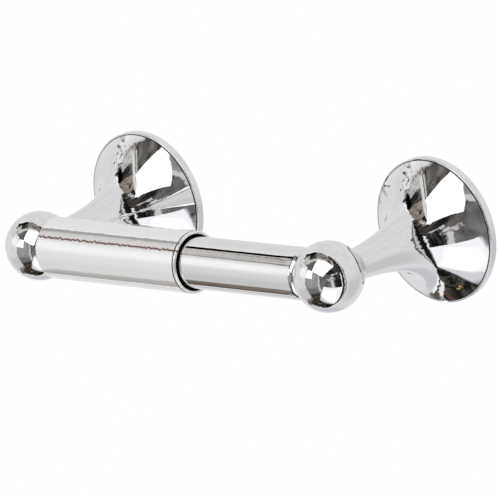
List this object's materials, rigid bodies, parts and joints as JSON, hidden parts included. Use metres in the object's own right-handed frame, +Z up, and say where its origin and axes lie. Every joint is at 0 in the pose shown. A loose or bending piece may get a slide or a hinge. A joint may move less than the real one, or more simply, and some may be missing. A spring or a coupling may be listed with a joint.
{
  "type": "toilet paper holder",
  "caption": "Wall-mounted chrome toilet paper holder with flared round posts, ball ends and a spring-loaded telescopic roller.",
  "frame": {"origin": "on the wall plane, midway between the two posts, at the height of their axes", "axes": "+X along the roller towards its thin tube, -Y out from the wall into the room, +Z up"},
  "size_m": [0.21, 0.0955, 0.057],
  "materials": {
    "cast_chrome": "polished chrome plate on die-cast zinc",
    "tube_chrome": "chrome plate on drawn steel tube, faint drawing lines",
    "pin_metal": "plated turned pin",
    "zinc_steel": "zinc-plated steel",
    "spring_steel": "drawn spring wire",
    "black_steel": "black oxide steel",
    "anchor_plastic": "moulded nylon",
    "collar_plastic": "moulded acetal"
  },
  "bodies": {
    "holder": {"post_left": "cast_chrome", "bracket_left": "zinc_steel", "set_screw_left": "black_steel", "wall_screw_upper_left": "zinc_steel", "wall_screw_lower_left": "zinc_steel", "wall_anchor_upper_left": "anchor_plastic", "wall_anchor_lower_left": "anchor_plastic", "post_right": "cast_chrome", "bracket_right": "zinc_steel", "set_screw_right": "black_steel", "wall_screw_upper_right": "zinc_steel", "wall_screw_lower_right": "zinc_steel", "wall_anchor_upper_right": "anchor_plastic", "wall_anchor_lower_right": "anchor_plastic"},
    "roller_outer": {"roller_outer_tube": "tube_chrome", "roller_pin_left": "pin_metal", "roller_spring": "spring_steel"},
    "roller_inner": {"roller_inner_tube": "tube_chrome", "roller_pin_right": "pin_metal", "roller_guide_collar": "collar_plastic"}
  },
  "joints": [
    {"name": "roller_spin", "type": "hinge", "parent": "holder", "child": "roller_outer", "pos_m": [0, -0.063, 0], "axis": [1, 0, 0], "continuous": true},
    {"name": "roller_compress", "type": "slide", "parent": "roller_outer", "child": "roller_inner", "axis": [1, 0, 0], "range_m": [-0.022, 0], "stiffness_N_per_m": 400, "springref_m": 0.02, "deforming": ["roller_spring"]}
  ]
}
